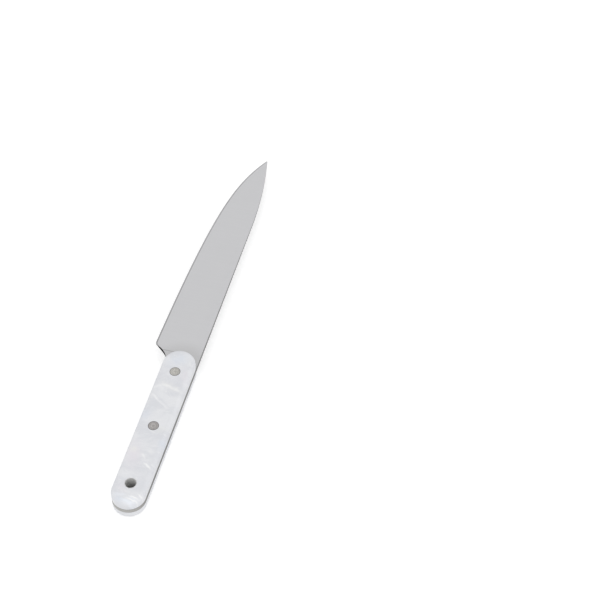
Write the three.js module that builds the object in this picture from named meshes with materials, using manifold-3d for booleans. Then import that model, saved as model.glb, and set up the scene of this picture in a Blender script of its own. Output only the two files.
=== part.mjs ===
// Full-tang kitchen knife with a riveted two-scale handle, lying flat on its lower scale.
// Millimetres. +X runs from the butt to the tip, +Y from the spine to the cutting edge, +Z is up.

import * as THREE from "three";
import { mergeVertices } from "three/addons/utils/BufferGeometryUtils.js";
import Module from "manifold-3d";

// Handle
const handleLength = 103.4;
const handleWidth = 18.2;
const scaleThickness = 5.2;
const scaleEdgeRadius = 2.4;
const bondThickness = 0.2;
const bondSetback = 0.3;

// Blade and tang blank
const stockThickness = 2.5;
const bladeLength = 160;
const bladeHeight = 27.65;
const tipDrop = 5.8;
const spineDropRun = 56;
const tipWidth = 0.6;
const tipThickness = 0.6;

// Heel notch, measured along the knife from the front of the scales
const notchStart = 5.4;
const notchBend = 1.2;
const heelForward = 5;
const heelRounding = 1.4;

// Cutting edge: how far its curve runs straight on from the heel and back from the point
const heelRun = 106;
const heelFall = 2.3;
const pointRun = 22.8;
const pointRise = 13.3;

// Grind, which starts in front of the scales and is full at the heel
const grindForward = 1.2;
const bevelWidth = 0.9;
const bevelThickness = 0.45;
const edgeThickness = 0.06;
const bevelRunIn = 4;

// Rivets and hanging tube: one tube, one rivet near the front and one rivet halfway between them
const tubeFromButt = 13;
const rivetFromFront = 15.8;
const rivetHeadDiameter = 5.8;
const rivetHeadThickness = 1.2;
const rivetHeadLip = 0.7;
const sleeveWall = 0.65;
const sleeveTopGap = 0.3;
const postEndGap = 0.4;
const tubeDiameter = 6.4;
const tubeWall = 0.3;
const tubeMouthChamfer = 0.15;
const fitClearance = 0.05;

// Facets
const roundFacets = 32;
const endArcFacets = 16;
const edgeRadiusFacets = 5;
const notchFacets = 8;
const heelFacets = 4;
const edgeCurveFacets = 40;

// Levels above the table, and places along and across the knife
const handleThickness = 2 * (scaleThickness + bondThickness) + stockThickness;
const midLevel = handleThickness / 2;
const tangTop = midLevel + stockThickness / 2;
const tangBottom = midLevel - stockThickness / 2;
const upperScaleBottom = tangTop + bondThickness;
const lowerScaleTop = tangBottom - bondThickness;
const overallLength = handleLength + bladeLength;
const spineLine = -handleWidth / 2;
const handleEdgeLine = handleWidth / 2;
const heelLine = spineLine + bladeHeight;
const heelX = handleLength + heelForward;
const frontRivetX = handleLength - rivetFromFront;
const middleRivetX = (tubeFromButt + frontRivetX) / 2;

// Radii of the rivets, the tube and the holes that they pass through
const headRadius = rivetHeadDiameter / 2;
const sleeveRadius = headRadius - rivetHeadLip;
const postRadius = sleeveRadius - sleeveWall - fitClearance;
const tubeRadius = tubeDiameter / 2;
const headSeatRadius = headRadius + fitClearance;
const sleeveHoleRadius = sleeveRadius + fitClearance;
const tubeHoleRadius = tubeRadius + fitClearance;

// Levels inside a rivet
const postHeadLevel = handleThickness - rivetHeadThickness;
const sleeveTop = postHeadLevel - sleeveTopGap;
const sleeveFloor = rivetHeadThickness;
const postEnd = sleeveFloor + postEndGap;

const wasm = await Module();
wasm.setup();

// Solid for joining and cutting, from a closed geometry
function toSolid(geometry) {
  const bare = geometry.clone();
  bare.deleteAttribute("normal");
  bare.deleteAttribute("uv");
  const merged = mergeVertices(bare);
  const vertProperties = new Float32Array(merged.attributes.position.array);
  const triVerts = new Uint32Array(merged.index.array);
  return new wasm.Manifold(new wasm.Mesh({ numProp: 3, vertProperties, triVerts }));
}

function toGeometry(solid) {
  const mesh = solid.getMesh();
  const geometry = new THREE.BufferGeometry();
  geometry.setAttribute("position", new THREE.BufferAttribute(new Float32Array(mesh.vertProperties), 3));
  geometry.setIndex(new THREE.BufferAttribute(new Uint32Array(mesh.triVerts), 1));
  geometry.computeVertexNormals();
  return geometry;
}

function cut(geometry, tools) {
  let solid = toSolid(geometry);
  for (const tool of tools) {
    solid = solid.subtract(toSolid(tool));
  }
  return toGeometry(solid);
}

// Closed skin over rings of equal point counts, each counter-clockwise about the direction of travel.
// A ring may close to a line or a point: the triangles that vanish there are left out.
function loft(rings) {
  const count = rings[0].length;
  const corners = rings.flat();
  const faces = [];
  const addFace = (a, b, c) => {
    const [p, q, r] = [corners[a], corners[b], corners[c]];
    if (!p.equals(q) && !q.equals(r) && !r.equals(p)) {
      faces.push(a, b, c);
    }
  };
  for (let ring = 0; ring + 1 < rings.length; ring++) {
    const near = ring * count;
    const far = near + count;
    for (let i = 0; i < count; i++) {
      const j = (i + 1) % count;
      addFace(near + i, near + j, far + j);
      addFace(near + i, far + j, far + i);
    }
  }
  const last = (rings.length - 1) * count;
  for (let i = 1; i + 1 < count; i++) {
    addFace(0, i + 1, i);
    addFace(last, last + i, last + i + 1);
  }
  const geometry = new THREE.BufferGeometry().setFromPoints(corners);
  geometry.setIndex(faces);
  return geometry;
}

// Round piece about an upright axis, from a profile of radius and level
function turned(profile, x) {
  const points = profile.map(([radius, level]) => new THREE.Vector2(radius, level));
  const geometry = new THREE.LatheGeometry(points, roundFacets);
  geometry.rotateX(Math.PI / 2);
  geometry.translate(x, 0, 0);
  return geometry;
}

// Plain round bar, the cutting tool for a round hole between two levels
function bar(radius, x, low, high) {
  const profile = [
    [0, low],
    [radius, low],
    [radius, high],
    [0, high],
  ];
  return turned(profile, x);
}

// Cutting tool for a hole right through the handle
function through(radius, x) {
  return bar(radius, x, -handleThickness, 2 * handleThickness);
}

// Handle outline: two half rounds joined by straight sides, drawn in by an inset
function handleOutline(inset) {
  const radius = handleWidth / 2;
  const outline = new THREE.Shape();
  outline.absarc(handleLength - radius, 0, radius - inset, -Math.PI / 2, Math.PI / 2);
  outline.absarc(radius, 0, radius - inset, Math.PI / 2, 1.5 * Math.PI);
  return outline;
}

function handleRing(inset, level) {
  const points = handleOutline(inset).getPoints(endArcFacets / 2);
  return points.map((point) => new THREE.Vector3(point.x, point.y, level));
}

// Spine: straight in line with the tang, then a round drop to the point
function spineAt(x) {
  const run = Math.max(0, x - (overallLength - spineDropRun));
  const radius = (spineDropRun ** 2 + tipDrop ** 2) / (2 * tipDrop);
  return spineLine + radius - Math.sqrt(radius ** 2 - run ** 2);
}

// Half thickness of the flank at a place on the blank: flat over the tang, a flat wedge on the blade
function flankAt(x, y, edgeY) {
  const along = THREE.MathUtils.clamp((x - handleLength) / bladeLength, 0, 1);
  const spineHalf = THREE.MathUtils.lerp(stockThickness, tipThickness, along) / 2;
  const across = (y - spineAt(x)) / (edgeY - spineAt(x));
  const wedge = THREE.MathUtils.lerp(spineHalf, bevelThickness / 2, across);
  const ground = THREE.MathUtils.smoothstep(x, handleLength + grindForward, heelX);
  return THREE.MathUtils.lerp(stockThickness / 2, wedge, ground);
}

// Section of the blank across the knife, between the spine and the edge side
function blankSection(x, spineY, edgeY, shoulderY, spineHalf, shoulderHalf, edgeHalf) {
  const corner = (y, half) => new THREE.Vector3(x, y, midLevel + half);
  return [
    corner(edgeY, -edgeHalf),
    corner(edgeY, edgeHalf),
    corner(shoulderY, shoulderHalf),
    corner(spineY, spineHalf),
    corner(spineY, -spineHalf),
    corner(shoulderY, -shoulderHalf),
  ];
}

// Section of the tang or of the heel notch, whose edge side is a square wall
function squareSection(x, spineY, edgeY) {
  const shoulderY = edgeY - Math.min(bevelWidth, (edgeY - spineY) / 2);
  const spineHalf = flankAt(x, spineY, heelLine);
  const shoulderHalf = flankAt(x, shoulderY, heelLine);
  const edgeHalf = flankAt(x, edgeY, heelLine);
  return blankSection(x, spineY, edgeY, shoulderY, spineHalf, shoulderHalf, edgeHalf);
}

// Section of the blade, whose edge side is the sharpened bevel
function bladeSection(x, edgeY, edgeStart) {
  const spineY = spineAt(x);
  const shoulderY = edgeY - Math.min(bevelWidth, (edgeY - spineY) / 2);
  const spineHalf = flankAt(x, spineY, edgeY);
  const sharpness = THREE.MathUtils.clamp((x - edgeStart) / bevelRunIn, 0, 1);
  const edgeHalf = THREE.MathUtils.lerp(bevelThickness, edgeThickness, sharpness) / 2;
  return blankSection(x, spineY, edgeY, shoulderY, spineHalf, bevelThickness / 2, edgeHalf);
}

// Point at a distance from one point on the way to another
function toward(start, end, distance) {
  return end.clone().sub(start).setLength(distance).add(start);
}

function bladeAndTang() {
  const rings = [];
  const buttRadius = handleWidth / 2;
  for (let step = 0; step <= endArcFacets; step++) {
    const turn = (step / endArcFacets) * (Math.PI / 2);
    const halfWidth = step === 0 ? 0 : buttRadius * Math.sin(turn);
    rings.push(squareSection(buttRadius * (1 - Math.cos(turn)), -halfWidth, halfWidth));
  }
  const notchBase = new THREE.Vector2(handleLength - notchStart, handleEdgeLine);
  const notchCorner = new THREE.Vector2(handleLength - notchBend, handleEdgeLine);
  const heel = new THREE.Vector2(heelX, heelLine);
  const heelPull = new THREE.Vector2(heelX + heelRun, heelLine - heelFall);
  const wallEnd = toward(heel, notchCorner, heelRounding);
  const edgeStart = toward(heel, heelPull, heelRounding);
  const notch = new THREE.QuadraticBezierCurve(notchBase, notchCorner, wallEnd);
  const rounding = new THREE.QuadraticBezierCurve(wallEnd, heel, edgeStart);
  for (const point of [...notch.getPoints(notchFacets), ...rounding.getPoints(heelFacets).slice(1)]) {
    rings.push(squareSection(point.x, spineLine, point.y));
  }
  const pointY = spineAt(overallLength) + tipWidth;
  const pointPull = new THREE.Vector2(overallLength - pointRun, pointY + pointRise);
  const edge = new THREE.CubicBezierCurve(edgeStart, heelPull, pointPull, new THREE.Vector2(overallLength, pointY));
  for (const point of edge.getPoints(edgeCurveFacets).slice(1)) {
    rings.push(bladeSection(point.x, point.y, edgeStart.x));
  }
  return cut(loft(rings), [
    through(tubeHoleRadius, tubeFromButt),
    through(sleeveHoleRadius, middleRivetX),
    through(sleeveHoleRadius, frontRivetX),
  ]);
}

// Half of the handle from its flat inner face up to its rounded outer edge, mirrored for the lower one
function scale(isUpper) {
  const levels = [[upperScaleBottom, 0]];
  for (let step = 0; step <= edgeRadiusFacets; step++) {
    const turn = (step / edgeRadiusFacets) * (Math.PI / 2);
    const rise = scaleEdgeRadius * (Math.sin(turn) - 1);
    levels.push([handleThickness + rise, scaleEdgeRadius * (1 - Math.cos(turn))]);
  }
  const rings = levels.map(([level, inset]) => handleRing(inset, isUpper ? level : handleThickness - level));
  if (!isUpper) {
    rings.reverse();
  }
  const faceLevel = isUpper ? handleThickness : 0;
  const tools = [through(tubeHoleRadius, tubeFromButt)];
  for (const x of [middleRivetX, frontRivetX]) {
    tools.push(through(sleeveHoleRadius, x));
    tools.push(bar(headSeatRadius, x, faceLevel - rivetHeadThickness, faceLevel + rivetHeadThickness));
  }
  return cut(loft(rings), tools);
}

// Film of set epoxy between the tang and a scale
function bondLine(level) {
  const outline = handleOutline(bondSetback);
  const holes = [
    [tubeFromButt, tubeHoleRadius],
    [middleRivetX, sleeveHoleRadius],
    [frontRivetX, sleeveHoleRadius],
  ];
  for (const [x, radius] of holes) {
    const hole = new THREE.Path();
    hole.absarc(x, 0, radius, 0, 2 * Math.PI, true);
    outline.holes.push(hole);
  }
  const options = { depth: bondThickness, bevelEnabled: false, curveSegments: roundFacets / 2 };
  const geometry = new THREE.ExtrudeGeometry(outline, options);
  geometry.translate(0, 0, level);
  return geometry;
}

// Upper half of a rivet: a flush head on a plain post
function rivetPost(x) {
  const profile = [
    [0, postEnd],
    [postRadius, postEnd],
    [postRadius, postHeadLevel],
    [headRadius, postHeadLevel],
    [headRadius, handleThickness],
    [0, handleThickness],
  ];
  return turned(profile, x);
}

// Lower half of a rivet: a flush head on a hollow sleeve that grips the post
function rivetSleeve(x) {
  const boreRadius = postRadius + fitClearance;
  const profile = [
    [0, 0],
    [headRadius, 0],
    [headRadius, rivetHeadThickness],
    [sleeveRadius, rivetHeadThickness],
    [sleeveRadius, sleeveTop],
    [boreRadius, sleeveTop],
    [boreRadius, sleeveFloor],
    [0, sleeveFloor],
  ];
  return turned(profile, x);
}

// Liner of the hanging hole, flush with both scales, with a small lead-in at each mouth
function hangingTube() {
  const boreRadius = tubeRadius - tubeWall;
  const chamfer = Math.min(tubeMouthChamfer, tubeWall / 2);
  const profile = [
    [tubeRadius, 0],
    [tubeRadius, handleThickness],
    [boreRadius + chamfer, handleThickness],
    [boreRadius, handleThickness - chamfer],
    [boreRadius, chamfer],
    [boreRadius + chamfer, 0],
    [tubeRadius, 0],
  ];
  return turned(profile, tubeFromButt);
}

const steel = new THREE.MeshStandardMaterial({ color: 0xc8c8ca, roughness: 0.35, metalness: 0.9 });
const pearl = new THREE.MeshStandardMaterial({ color: 0xe1e2e7, roughness: 0.25, metalness: 0 });
const nickel = new THREE.MeshStandardMaterial({ color: 0xb4b1ab, roughness: 0.45, metalness: 0.9 });
const epoxy = new THREE.MeshStandardMaterial({ color: 0x6b6862, roughness: 0.6, metalness: 0 });

const knife = new THREE.Group();

function addPiece(name, geometry, material) {
  const mesh = new THREE.Mesh(geometry, material);
  mesh.name = name;
  knife.add(mesh);
}

addPiece("blade_and_tang", bladeAndTang(), steel);
addPiece("upper_scale", scale(true), pearl);
addPiece("lower_scale", scale(false), pearl);
addPiece("upper_bond_line", bondLine(tangTop), epoxy);
addPiece("lower_bond_line", bondLine(lowerScaleTop), epoxy);
addPiece("front_rivet_post", rivetPost(frontRivetX), nickel);
addPiece("front_rivet_sleeve", rivetSleeve(frontRivetX), nickel);
addPiece("middle_rivet_post", rivetPost(middleRivetX), nickel);
addPiece("middle_rivet_sleeve", rivetSleeve(middleRivetX), nickel);
addPiece("hanging_tube", hangingTube(), nickel);

// The origin lies on the table under the middle of the knife's box
const boxCentre = new THREE.Box3().setFromObject(knife).getCenter(new THREE.Vector3());
knife.position.set(-boxCentre.x, -boxCentre.y, 0);

export default knife;
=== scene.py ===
"""Dress the fillet knife for a studio picture.

The steel blank, the pearl scales, the rivets and the hanging tube are modelled over their solids and
take their places from the frame. Every finish is drawn by shader nodes on Object coordinates.
"""

import logging
import math
from contextlib import contextmanager
from dataclasses import dataclass
from enum import Enum
from functools import cache
from typing import Callable, Iterator, Sequence

import bmesh
import bpy
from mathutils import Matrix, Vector
from mathutils.geometry import interpolate_bezier


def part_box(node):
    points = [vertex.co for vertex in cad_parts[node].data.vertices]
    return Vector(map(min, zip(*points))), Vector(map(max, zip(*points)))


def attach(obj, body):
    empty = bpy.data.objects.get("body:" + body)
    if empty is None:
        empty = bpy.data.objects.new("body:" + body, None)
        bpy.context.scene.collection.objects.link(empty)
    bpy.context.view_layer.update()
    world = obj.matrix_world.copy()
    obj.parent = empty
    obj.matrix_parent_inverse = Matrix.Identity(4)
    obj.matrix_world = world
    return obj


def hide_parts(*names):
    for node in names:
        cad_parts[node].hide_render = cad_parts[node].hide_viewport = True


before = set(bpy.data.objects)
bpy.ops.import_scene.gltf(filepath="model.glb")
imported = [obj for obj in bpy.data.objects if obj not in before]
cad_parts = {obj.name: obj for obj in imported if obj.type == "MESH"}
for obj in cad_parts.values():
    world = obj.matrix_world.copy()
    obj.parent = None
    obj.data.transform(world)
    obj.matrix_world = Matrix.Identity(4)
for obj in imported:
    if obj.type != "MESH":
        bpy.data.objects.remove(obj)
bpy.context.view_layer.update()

LOG = logging.getLogger("knife")
MM = 0.001
MERGE_GAP = 0.002 * MM
# Faces whose normals rise less than this are walls
WALL_TILT = 0.5
NO_PLACE = (0.0, 0.0, 0.0)
NOISE_MEAN = (0.5, 0.5, 0.5)
WHITE = (1.0, 1.0, 1.0)
SOFT = {"interpolation_type": "SMOOTHSTEP"}
# Numbers of the colour sockets of Blender's mix node
MIX_FIRST = 6
MIX_SECOND = 7
MIX_RESULT = 2
BODY = "root"
SLEEVES = ("front_rivet_sleeve", "middle_rivet_sleeve")
TUBE = "hanging_tube"

Triple = tuple[float, float, float]
Colour = Triple
Spot = tuple[float, float]
Range = tuple[float, float]
Piece = bpy.types.Object
Material = bpy.types.Material
Node = bpy.types.Node
Outputs = bpy.types.NodeOutputs
Socket = bpy.types.NodeSocket
Tree = bpy.types.NodeTree
Face = bmesh.types.BMFace
Edge = bmesh.types.BMEdge
Test = Callable[..., bool]
Values = dict[str | int, object]


class MeshPart(Enum):
    """What a selection in edit mode is made of."""

    VERTS = "VERT"
    EDGES = "EDGE"
    FACES = "FACE"


class Side(Enum):
    """Half of the handle, with the direction from the tang out to its face."""

    UPPER = 1
    LOWER = -1


class BlankFace(Enum):
    """Finishes of the steel blank, in the order of its material slots."""

    FLANK = 0
    CUT_EDGE = 1
    BEVEL = 2
    NOTCH = 3


class TubeFace(Enum):
    """Finishes of the hanging tube, in the order of its material slots."""

    RIM = 0
    BORE = 1


# Modelling bench


def clamp(value: float) -> float:
    """Hold a value between 0 and 1."""
    return min(1.0, max(0.0, value))


def is_upright(face: Face) -> bool:
    """Tell a wall of a piece from its flat faces."""
    return abs(face.normal.z) < WALL_TILT


def is_level(edge: Edge) -> bool:
    """Tell an edge whose ends are on one level."""
    return abs(edge.verts[0].co.z - edge.verts[1].co.z) < MERGE_GAP


def on_level(level: float, fit: float) -> Test:
    """Make a test for edges or faces that lie on one level."""
    return lambda part: all(abs(vert.co.z - level) < fit for vert in part.verts)


def clear_selection() -> None:
    """Deselect every object."""
    bpy.ops.object.select_all(action="DESELECT")


def take_up(piece: Piece) -> None:
    """Select one piece and nothing else.

    Args:
        piece: The mesh object, which becomes the active one.
    """
    clear_selection()
    piece.select_set(True)
    bpy.context.view_layer.objects.active = piece


def settle(name: str) -> Piece:
    """Name the primitive that was just added and move its place into its mesh.

    Args:
        name: Name of the piece and of its mesh.

    Returns:
        The primitive's object, at the origin.
    """
    piece = bpy.context.active_object
    piece.name = name
    piece.data.name = name
    bpy.ops.object.transform_apply(location=True, rotation=True, scale=True)
    return piece


@contextmanager
def shaping(piece: Piece) -> Iterator[None]:
    """Hold one piece in edit mode.

    Args:
        piece: The mesh object to shape.

    Returns:
        A context in which edit mode operators act on that piece alone.
    """
    take_up(piece)
    bpy.ops.object.mode_set(mode="EDIT")
    yield
    bpy.ops.object.mode_set(mode="OBJECT")


def pick(part: MeshPart, wanted: Test) -> None:
    """Select the vertices, edges or faces that pass a test, and nothing else.

    Args:
        part: Which kind of element of the piece in edit mode is selected.
        wanted: Test of one element.
    """
    bpy.ops.mesh.select_mode(type=part.value)
    bpy.ops.mesh.select_all(action="DESELECT")
    data = bpy.context.edit_object.data
    mesh = bmesh.from_edit_mesh(data)
    for element in getattr(mesh, part.name.lower()):
        if wanted(element):
            element.select_set(True)
    mesh.select_flush_mode()
    bmesh.update_edit_mesh(data)


def paint(face: Enum, wanted: Test) -> None:
    """Give the faces that pass a test one of the finishes of the piece in edit mode.

    Args:
        face: The finish, by its material slot.
        wanted: Test of one face.
    """
    pick(MeshPart.FACES, wanted)
    bpy.context.edit_object.active_material_index = face.value
    bpy.ops.object.material_slot_assign()


def draw_up(height: float) -> None:
    """Extrude what is selected by a height."""
    bpy.ops.mesh.extrude_region_move(TRANSFORM_OT_translate={"value": (0, 0, height)})


def merge_doubles() -> None:
    """Merge all vertices of the piece in edit mode that share a place."""
    bpy.ops.mesh.select_all(action="SELECT")
    bpy.ops.mesh.remove_doubles(threshold=MERGE_GAP)


def face_outwards() -> None:
    """Turn all faces of the piece in edit mode outwards."""
    bpy.ops.mesh.select_all(action="SELECT")
    bpy.ops.mesh.normals_make_consistent(inside=False)


def apply_modifier(piece: Piece, kind: str, **settings: object) -> None:
    """Add one modifier to a piece and apply it.

    Args:
        piece: The mesh object.
        kind: Blender's modifier type.
        settings: Values of the modifier's properties.
    """
    take_up(piece)
    modifier = piece.modifiers.new(kind.lower(), kind)
    for name, value in settings.items():
        setattr(modifier, name, value)
    bpy.ops.object.modifier_apply(modifier=modifier.name)


def drill(piece: Piece, spot: Spot, radius: float, *levels: float, steps: int = 96) -> None:
    """Cut a round upright hole into a piece.

    Args:
        piece: The mesh object to cut.
        spot: Place of the hole along and across the knife.
        radius: Radius of the hole.
        levels: Levels of the two ends of the cut.
        steps: Number of the hole's sides.
    """
    low, high = sorted(levels)
    clear_selection()
    bpy.ops.mesh.primitive_cylinder_add(
        vertices=steps, radius=radius, depth=high - low, location=(*spot, (low + high) / 2)
    )
    bit = settle("drill_bit")
    apply_modifier(piece, "BOOLEAN", object=bit, operation="DIFFERENCE", solver="EXACT")
    bpy.data.objects.remove(bit)


def smooth(piece: Piece, angle: float) -> None:
    """Shade a piece smooth up to an angle and keep its flat faces flat.

    Args:
        piece: The mesh object.
        angle: Largest angle between faces that is shaded smooth, in degrees.
    """
    take_up(piece)
    bpy.ops.object.shade_smooth_by_angle(angle=math.radians(angle))
    apply_modifier(piece, "WEIGHTED_NORMAL", keep_sharp=True, weight=100)


def hand_over(piece: Piece, slot: str, *nodes: str) -> None:
    """Let a finished piece stand for its solids on the knife.

    Args:
        piece: The finished object.
        slot: Name of a material slot; not used.
        nodes: Names of the solids that it stands for.
    """
    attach(piece, BODY)
    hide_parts(*nodes)
    LOG.info("%s: %d faces for %s", piece.name, len(piece.data.polygons), ", ".join(nodes))


# Shader bench


class Sheet:
    """A node tree that is being drawn up."""

    def __init__(self, tree: Tree) -> None:
        """Take over a tree."""
        self.tree = tree

    def fill(self, node: Node, values: Values) -> None:
        """Link inputs of a node to outputs, or set them to constants.

        Args:
            node: The node.
            values: Output or constant for each input, by its name or number.
        """
        for key, value in values.items():
            socket = node.inputs[key]
            if isinstance(value, Socket):
                self.tree.links.new(value, socket)
            else:
                socket.default_value = (*value, 1.0) if socket.type == "RGBA" else value

    def add(self, kind: str, values: Values, **settings: object) -> Outputs:
        """Place a node.

        Args:
            kind: Blender's node type.
            values: Output or constant for each input, by its name or number.
            settings: Values of the node's properties.

        Returns:
            The node's outputs.
        """
        node = self.tree.nodes.new(kind)
        for name, value in settings.items():
            setattr(node, name, value)
        self.fill(node, values)
        return node.outputs

    def math(self, operation: str, *values: object) -> Socket:
        """Work out a number from numbers."""
        return self.add("ShaderNodeMath", dict(enumerate(values)), operation=operation)["Value"]

    def vector(self, operation: str, *values: object) -> Socket:
        """Work out a vector from vectors."""
        return self.add("ShaderNodeVectorMath", dict(enumerate(values)), operation=operation)["Vector"]

    def measure(self, operation: str, *values: object) -> Socket:
        """Work out a number from vectors."""
        return self.add("ShaderNodeVectorMath", dict(enumerate(values)), operation=operation)["Value"]

    def noise(self, at: Socket, scale: object, detail: float, roughness: float = 0.5) -> Outputs:
        """Place a noise of a scale, with a number of finer layers and their strength."""
        values = {"Vector": at, "Scale": scale, "Detail": detail, "Roughness": roughness}
        return self.add("ShaderNodeTexNoise", values)

    def stir(self, at: Socket, scale: float, detail: float, push: Triple) -> Socket:
        """Push coordinates to and fro along each axis by a noise."""
        centred = self.vector("SUBTRACT", self.noise(at, scale, detail)["Color"], NOISE_MEAN)
        return self.vector("MULTIPLY_ADD", centred, push, at)

    def spread(self, value: Socket, read: Range, give: Range = (0.0, 1.0)) -> Socket:
        """Stretch the range that is read over the range that is given, softly and clamped."""
        limits = {"From Min": read[0], "From Max": read[1], "To Min": give[0], "To Max": give[1]}
        return self.add("ShaderNodeMapRange", {"Value": value} | limits, **SOFT)["Result"]

    def blend(self, factor: Socket, first: object, second: object) -> Socket:
        """Mix two colours by the share of the second."""
        values = {"Factor": factor, MIX_FIRST: first, MIX_SECOND: second}
        return self.add("ShaderNodeMix", values, data_type="RGBA")[MIX_RESULT]

    def place(self, origin: Spot = (0.0, 0.0), turn: float = 0.0) -> Socket:
        """Read Object coordinates in millimetres, turned and then moved.

        Args:
            origin: Where the knife's own origin comes to lie, in millimetres.
            turn: Turn about the upright axis in degrees.

        Returns:
            The coordinates' output.
        """
        values = {
            "Vector": self.add("ShaderNodeTexCoord", {})["Object"],
            "Location": (*origin, 0.0),
            "Rotation": (0.0, 0.0, math.radians(turn)),
            "Scale": (1 / MM, 1 / MM, 1 / MM),
        }
        return self.add("ShaderNodeMapping", values, vector_type="POINT")["Vector"]

    def along(self, at: Socket, axis: str = "X") -> Socket:
        """Take the place along one axis from coordinates."""
        return self.add("ShaderNodeSeparateXYZ", {"Vector": at})[axis]

    def beside(self, at: Socket, axis: object) -> Socket:
        """Take the level way from an upright axis to each point."""
        return self.vector("MULTIPLY", self.vector("SUBTRACT", at, axis), (1.0, 1.0, 0.0))

    def group(self, tree: Tree, **values: object) -> Outputs:
        """Place a node group with inputs by name."""
        return self.add("ShaderNodeGroup", values, node_tree=tree)

    def bump(self, height: Socket, depth: float) -> Socket:
        """Turn a height from 0 to 1 into the normal of a relief with a depth in metres."""
        return self.add("ShaderNodeBump", {"Distance": depth, "Height": height})["Normal"]


class GroupSheet(Sheet):
    """A shader node group that is being drawn up, whose outputs are numbers."""

    def __init__(self, name: str, inputs: dict[str, object], outputs: Sequence[str]) -> None:
        """Start the group and make its sockets.

        Args:
            name: Name of the group.
            inputs: Default of each input by its name, a tuple for a vector.
            outputs: Names of the outputs.
        """
        super().__init__(bpy.data.node_groups.new(name, "ShaderNodeTree"))
        make_socket = self.tree.interface.new_socket
        for label, default in inputs.items():
            kind = "NodeSocketVector" if isinstance(default, tuple) else "NodeSocketFloat"
            make_socket(label, in_out="INPUT", socket_type=kind).default_value = default
        for label in outputs:
            make_socket(label, in_out="OUTPUT", socket_type="NodeSocketFloat")
        self.given = self.add("NodeGroupInput", {})
        self.result = self.tree.nodes.new("NodeGroupOutput")


@cache
def grain_group() -> Tree:
    """Draw up the grain of ground metal: long fine lines, and broader bands of lines.

    Returns:
        The group, with the outputs Line and Band.
    """
    band_share = 0.12
    inputs = {"Vector": NO_PLACE, "Stretch": (1.0, 1.0, 1.0), "Fineness": 1.0}
    sheet = GroupSheet("ground_grain", inputs, ["Line", "Band"])
    fineness = sheet.given["Fineness"]
    drawn = sheet.vector("MULTIPLY", sheet.given["Vector"], sheet.given["Stretch"])
    line = sheet.noise(drawn, fineness, detail=3.0, roughness=0.6)
    band = sheet.noise(drawn, sheet.math("MULTIPLY", fineness, band_share), detail=2.0)
    sheet.fill(sheet.result, {"Line": line["Fac"], "Band": band["Fac"]})
    return sheet.tree


@cache
def marks_group() -> Tree:
    """Draw up the marks of handling: soft smears.

    Returns:
        The group, with the output Smear.
    """
    smear_range = (0.35, 0.7)
    sheet = GroupSheet("handling_marks", {"Vector": NO_PLACE, "Size": 0.06}, ["Smear"])
    smear = sheet.noise(sheet.given["Vector"], sheet.given["Size"], detail=4.0, roughness=0.55)
    sheet.fill(sheet.result, {"Smear": sheet.spread(smear["Fac"], smear_range)})
    return sheet.tree


@cache
def swirl_group() -> Tree:
    """Draw up a soft patch that is drawn out along a line and faint at the line's ends.

    Returns:
        The group, with the output Mask.
    """
    middle = 0.5
    fading = (0.2, 0.5)
    faintest = 0.4
    inputs = {"Vector": NO_PLACE, "Start": NO_PLACE, "Run": (1.0, 0.0, 0.0), "Width": 1.0}
    sheet = GroupSheet("pearl_swirl", inputs, ["Mask"])
    run = sheet.given["Run"]
    away = sheet.beside(sheet.given["Vector"], sheet.given["Start"])
    reach = sheet.measure("DOT_PRODUCT", run, run)
    share = sheet.math("DIVIDE", sheet.measure("DOT_PRODUCT", away, run), reach)
    share = sheet.math("MINIMUM", sheet.math("MAXIMUM", share, 0.0), 1.0)
    aside = sheet.measure("DISTANCE", away, sheet.vector("MULTIPLY", run, share))
    soft = sheet.spread(sheet.math("DIVIDE", aside, sheet.given["Width"]), (0.0, 1.0), (1.0, 0.0))
    from_middle = sheet.math("ABSOLUTE", sheet.math("SUBTRACT", share, middle))
    faint = sheet.spread(from_middle, fading, (1.0, faintest))
    sheet.fill(sheet.result, {"Mask": sheet.math("MULTIPLY", soft, faint)})
    return sheet.tree


def new_material(name: str) -> tuple[Material, Sheet, Node]:
    """Start a material.

    Args:
        name: Name of the finish.

    Returns:
        The material, its sheet and its Principled BSDF node.
    """
    material = bpy.data.materials.new(name)
    material.use_nodes = True
    shader = next(node for node in material.node_tree.nodes if node.type == "BSDF_PRINCIPLED")
    return material, Sheet(material.node_tree), shader


# Places of the handle


@dataclass
class HandlePlan:
    """Places of the handle, read from the solids, and the fit of what sits in it, in metres."""

    head_thickness: float = 1.2 * MM
    head_lip: float = 0.7 * MM
    fit: float = 0.05 * MM

    def __post_init__(self) -> None:
        """Measure the two scales."""
        low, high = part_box("upper_scale")
        under_low, under_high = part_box("lower_scale")
        self.butt = low.x
        self.front = high.x
        self.axis = (low.y + high.y) / 2
        self.half_width = (high.y - low.y) / 2
        self.table = under_low.z
        self.lower_seat = under_high.z
        self.upper_seat = low.z
        self.crown = high.z

    def spot_of(self, node: str) -> Spot:
        """Give the place of a round solid's axis along and across the knife."""
        low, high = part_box(node)
        return (low.x + high.x) / 2, self.axis

    def radius_of(self, node: str) -> float:
        """Give the largest radius of a round solid."""
        low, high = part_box(node)
        return (high.x - low.x) / 2

    def hole_of(self, node: str) -> float:
        """Give the radius of the hole that a rivet's shank or the tube passes through."""
        return self.radius_of(node) + self.fit - (0.0 if node == TUBE else self.head_lip)


# Finishes


@dataclass(frozen=True, kw_only=True)
class Grain:
    """Lines of a grinding belt, and how much they change the colour and how deep they are."""

    stretch: Triple
    fineness: float
    contrast: float
    depth: float


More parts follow.
